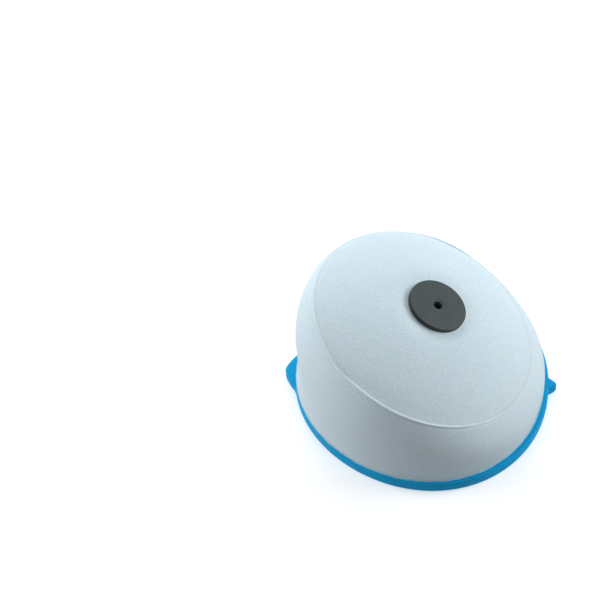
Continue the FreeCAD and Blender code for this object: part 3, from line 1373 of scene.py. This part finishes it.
@dataclass
class FilterBody:
    """Both foam stages, their seams and the glue under them.

    Attributes:
        clamp: The washer and bush that are pressed into the crown.
        outline: How far the foot is out of round.
        outer_thickness: Thickness of the coarse stage.
        inner_thickness: Thickness of the fine stage.
        bond_gap: Room for the glue film between the stages.
        squeeze_out: How far the foot glue is squeezed out.
        foot_shift: How far the foot is glued off the flange's middle, along X.
        dimple: How far the washer draws the foam down round itself.
        dimple_width: How far out the drawn-down foam reaches.
        hole_room: Room round the bush's tube in the foam's hole.
        seat_inset: How far in from the washer's edge its seat ends.
        seat_lip: Length of the foam's first step up past its seat.
        seat_rise: Height of that step.
        nest_room: Room round the bush's flange.
        nest_mouth: How far out the nest's edge starts.
        nest_edge: How far out and up each point of the nest's edge lies.
        glue_round: Rounding of the foot glue's upper edges.
        glue_wander: How far the foot glue's edge wanders.
        glue_lumps: How close together the foot glue's lumps are.
        total: Thickness of both stages.
        shell: The surfaces that both stages follow.
        outer: The coarse stage.
        inner: The fine stage.
    """

    clamp: Clamp
    outline: HandCutOutline
    outer_thickness: float = 7.0 * MM
    inner_thickness: float = 5.0 * MM
    bond_gap: float = 0.1 * MM
    squeeze_out: float = 0.8 * MM
    foot_shift: float = -1.4 * MM
    dimple: float = 1.3 * MM
    dimple_width: float = 7.0 * MM
    hole_room: float = 0.2 * MM
    seat_inset: float = 0.6 * MM
    seat_lip: float = 0.8 * MM
    seat_rise: float = 0.1 * MM
    nest_room: float = 0.15 * MM
    nest_mouth: float = 1.5 * MM
    nest_edge: tuple[Pair, ...] = ((0.7 * MM, -0.1 * MM), (0.1 * MM, 0.3 * MM), (0.0, 0.9 * MM))
    glue_round: float = 0.5 * MM
    glue_wander: float = 0.35 * MM
    glue_lumps: float = 14.0

    def __post_init__(self) -> None:
        """Works out the shell and the stages from the frame."""
        base_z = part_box("outer_side_foam")[0].z
        base_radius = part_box("base_bond")[1].y - self.squeeze_out
        self.total = self.outer_thickness + self.inner_thickness
        self.shell = FoamShell(self.clamp.crown, self.outline, base_z, base_radius, self.foot_shift)
        self.outer = FoamStage(
            self.shell,
            outer_depth=0.0,
            inner_depth=self.outer_thickness,
            finish=Finish.COARSE_FOAM,
            slot="coarse_foam",
            wall_node="outer_side_foam",
            crown_node="outer_crown_foam",
        )
        self.inner = FoamStage(
            self.shell,
            outer_depth=self.outer_thickness + self.bond_gap,
            inner_depth=self.total,
            finish=Finish.FINE_FOAM,
            slot="fine_foam",
            wall_node="inner_side_foam",
            crown_node="inner_crown_foam",
            pinch=0.0,
        )

    def outer_crown(self) -> bpy.types.Object:
        """Builds the coarse crown, drawn down round the washer.

        Returns:
            The coarse crown.
        """
        hole = self.clamp.tube_radius() + self.hole_room
        seat = self.clamp.washer_low
        edge = self.clamp.washer_radius - self.seat_inset
        profile: Profile = [(hole, seat), (0.5 * (hole + edge), seat), (edge, seat)]
        profile += [(edge + self.seat_lip, seat + self.seat_rise)]
        profile += self.outer.outer_dome(edge + 2.0 * self.seat_lip, self.dimple, self.dimple_width)
        profile += self.outer.mitre(profile[-1])
        profile += self.outer.inner_dome(hole)
        profile += self._hole_wall(profile[-1], profile[0])
        return self.outer.crown(profile)

    def inner_crown(self) -> bpy.types.Object:
        """Builds the fine crown, with the bush's flange nested in it.

        Returns:
            The fine crown.
        """
        hole = self.clamp.tube_radius() + self.hole_room
        seat = self.clamp.bush_low + self.clamp.bush_thickness
        edge = self.clamp.bush_radius + self.nest_room
        profile = self.inner.outer_dome(hole, 0.0, self.dimple_width)
        profile += self.inner.mitre(profile[-1])
        profile += self.inner.inner_dome(edge + self.nest_mouth)
        lip = self.shell.dome(edge + self.nest_mouth, self.total)
        profile += [(edge + out, lip + up) for out, up in self.nest_edge]
        profile += [(edge, seat), (0.5 * (edge + hole), seat), (hole, seat)]
        profile += self._hole_wall(profile[-1], profile[0])
        return self.inner.crown(profile)

    @staticmethod
    def _hole_wall(start: tuple[Along, Along], end: tuple[Along, Along]) -> Profile:
        """Two profile points up the wall of the foam's hole."""
        return [(start[0], start[1] + (end[1] - start[1]) * t) for t in (0.33, 0.67)]

    def outer_seam(self) -> SeamBead:
        """The pale bead between the coarse wall and crown.

        Returns:
            The bead's sizes.
        """
        return SeamBead(
            "seam_ridge",
            self.shell,
            depth=0.0,
            size=0.9 * MM,
            broad=2.2,
            proud=-0.35 * MM,
            sink=3.6 * MM,
            low_side_sink=0.75 * MM,
        )

    def lining_seam(self) -> SeamBead:
        """The dark bead between the fine wall and crown.

        Returns:
            The bead's sizes.
        """
        return SeamBead(
            "lining_seam",
            self.shell,
            depth=self.total,
            size=0.9 * MM,
            broad=1.0,
            proud=-0.2 * MM,
            sink=0.2 * MM,
        )

    def foot_bond(self, around: int = 540) -> bpy.types.Object:
        """Builds the ring of glue under both walls.

        Args:
            around: Points round the ring.

        Returns:
            The ring of glue.
        """
        low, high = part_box("base_bond")
        angles = even_angles(around)
        outer = high.y
        inner = outer - 2.0 * self.squeeze_out - self.total
        corners = [
            (inner, low.z, 0.0),
            (outer, low.z, 0.0),
            (outer, high.z, self.glue_round),
            (inner, high.z, self.glue_round),
        ]
        wander = round_noise(angles, pattern=0.2, scale=self.glue_lumps)
        rings = []
        for radius, height in rounded_profile(corners):
            side = 1.0 if radius > 0.5 * (inner + outer) else -1.0
            out = radius * self.outline.share(angles) + wander * side * self.glue_wander
            rings.append(flat_ring(out, height, angles) + np.array([self.foot_shift, 0.0, 0.0]))
        return ring_mesh("foot_glue", rings)

    def dress(self, dresser: Dresser) -> None:
        """Builds, finishes and fits every foam and glue piece.

        Args:
            dresser: Where the finishes come from.
        """
        foams = (
            (self.outer.wall(), self.outer, self.outer.wall_node),
            (self.outer_crown(), self.outer, self.outer.crown_node),
            (self.inner.wall(), self.inner, self.inner.wall_node),
            (self.inner_crown(), self.inner, self.inner.crown_node),
        )
        for piece, stage, node in foams:
            dresser.dress(piece, stage.finish)
            fit_piece(piece, node)
        glues = (
            (self.outer_seam().build(), Finish.SEAM_GLUE, "outer_seam_bead", "glue_white"),
            (self.lining_seam().build(), Finish.LINING_GLUE, "inner_seam_bead", "glue_blue"),
            (self.foot_bond(), Finish.FOOT_GLUE, "base_bond", "glue_clear"),
        )
        for piece, finish, node, slot in glues:
            dresser.dress(piece, finish)
            fit_piece(piece, node)


# ---------------------------------------------------------------------------------------------------------
# Studio
# ---------------------------------------------------------------------------------------------------------


@dataclass(frozen=True)
class Softbox:
    """A square soft light.

    Attributes:
        name: Name of the light.
        place: Where it stands.
        size: Length of its side.
        power: Its power in watts.
        colour: Its colour.
        aim: What it points at.
    """

    name: str
    place: tuple[float, float, float]
    size: float
    power: float
    colour: tuple[float, float, float] = (0.95, 0.98, 1.0)
    aim: tuple[float, float, float] = (0.0, 0.0, 0.05)

    def build(self) -> bpy.types.Object:
        """Builds the light.

        Returns:
            The light.
        """
        data = bpy.data.lights.new(self.name, "AREA")
        data.shape = "SQUARE"
        data.size = self.size
        data.energy = self.power
        data.color = self.colour
        lamp = bpy.data.objects.new(self.name, data)
        bpy.context.scene.collection.objects.link(lamp)
        lamp.location = self.place
        lamp.rotation_euler = (Vector(self.aim) - Vector(self.place)).to_track_quat("-Z", "Y").to_euler()
        return lamp


@dataclass
class Studio:
    """Floor, lights, camera and the room's even light.

    Attributes:
        floor_side: Length of the floor's side.
        floor_gap: How far the floor lies under the flange.
        camera_place: Where the camera stands.
        camera_aim: What the camera points at.
        camera_roll: Its roll in degrees.
        camera_lens: Its focal length in millimetres.
        camera_sensor: Width of its sensor in millimetres.
        camera_sight: How far it sees.
        room_light: Strength of the even light.
        room_colour: Colour of the even light.
        softboxes: The lights.
    """

    floor_side: float = 12.0
    floor_gap: float = 0.2 * MM
    camera_place: tuple[float, float, float] = (0.0721, -0.6919, 1.0249)
    camera_aim: tuple[float, float, float] = (-0.0909, 0.0269, 0.0525)
    camera_roll: float = -6.2
    camera_lens: float = 95.8
    camera_sensor: float = 36.0
    camera_sight: float = 50.0
    room_light: float = 0.33
    room_colour: Colour = (0.95, 0.98, 1.0, 1.0)
    softboxes: tuple[Softbox, ...] = (
        Softbox("back_softbox", (-0.30, 1.45, 0.68), size=1.3, power=14.0, colour=(0.90, 0.97, 1.0)),
        Softbox("right_softbox", (1.3, 0.35, 0.7), size=0.9, power=13.0),
        Softbox("left_softbox", (-1.3, 0.05, 0.5), size=0.9, power=11.0),
    )

    def floor(self, dresser: Dresser) -> bpy.types.Object:
        """Builds the floor just under the flange.

        Args:
            dresser: Where the finishes come from.

        Returns:
            The floor.
        """
        half = self.floor_side / 2.0
        mesh = bpy.data.meshes.new("floor")
        corners = [(-half, -half, 0.0), (half, -half, 0.0), (half, half, 0.0), (-half, half, 0.0)]
        mesh.from_pydata(corners, [], [(0, 1, 2, 3)])
        floor = bpy.data.objects.new("floor", mesh)
        bpy.context.scene.collection.objects.link(floor)
        floor.location.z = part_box("sealing_flange")[0].z - self.floor_gap
        floor.visible_diffuse = False
        dresser.dress(floor, Finish.FLOOR)
        return floor

    def camera(self) -> bpy.types.Object:
        """Builds the camera and makes it the scene's.

        Returns:
            The camera.
        """
        data = bpy.data.cameras.new("studio_camera")
        data.lens = self.camera_lens
        data.sensor_width = self.camera_sensor
        data.clip_end = self.camera_sight
        camera = bpy.data.objects.new("studio_camera", data)
        bpy.context.scene.collection.objects.link(camera)
        aim = (Vector(self.camera_aim) - Vector(self.camera_place)).to_track_quat("-Z", "Y").to_matrix()
        roll = Matrix.Rotation(math.radians(self.camera_roll), 3, "Z")
        camera.matrix_world = Matrix.Translation(Vector(self.camera_place)) @ (aim @ roll).to_4x4()
        bpy.context.scene.camera = camera
        return camera

    def room(self) -> None:
        """Sets the even light of the room."""
        world = bpy.data.worlds.new("white_room")
        world.use_nodes = True
        background = world.node_tree.nodes["Background"]
        background.inputs["Color"].default_value = self.room_colour
        background.inputs["Strength"].default_value = self.room_light
        bpy.context.scene.world = world

    def build(self, dresser: Dresser) -> None:
        """Builds the whole studio.

        Args:
            dresser: Where the finishes come from.
        """
        self.floor(dresser)
        for softbox in self.softboxes:
            softbox.build()
        self.room()
        self.camera()
        bpy.context.scene.view_settings.view_transform = "Standard"
        LOG.info("studio has a floor, %d softboxes and a camera", len(self.softboxes))


def main() -> None:
    """Builds every piece and the studio."""
    logging.basicConfig(level=logging.INFO, format="%(message)s")
    dresser = Dresser()
    crown = CrownFrame.from_frame("bolt_hole", "outer_crown_foam")
    clamp = Clamp.from_frame(crown)
    outline = HandCutOutline()
    SealingFlange(outline).dress(dresser)
    FilterBody(clamp, outline).dress(dresser)
    clamp.dress(dresser)
    Studio().build(dresser)


if __name__ == "__main__":
    main()
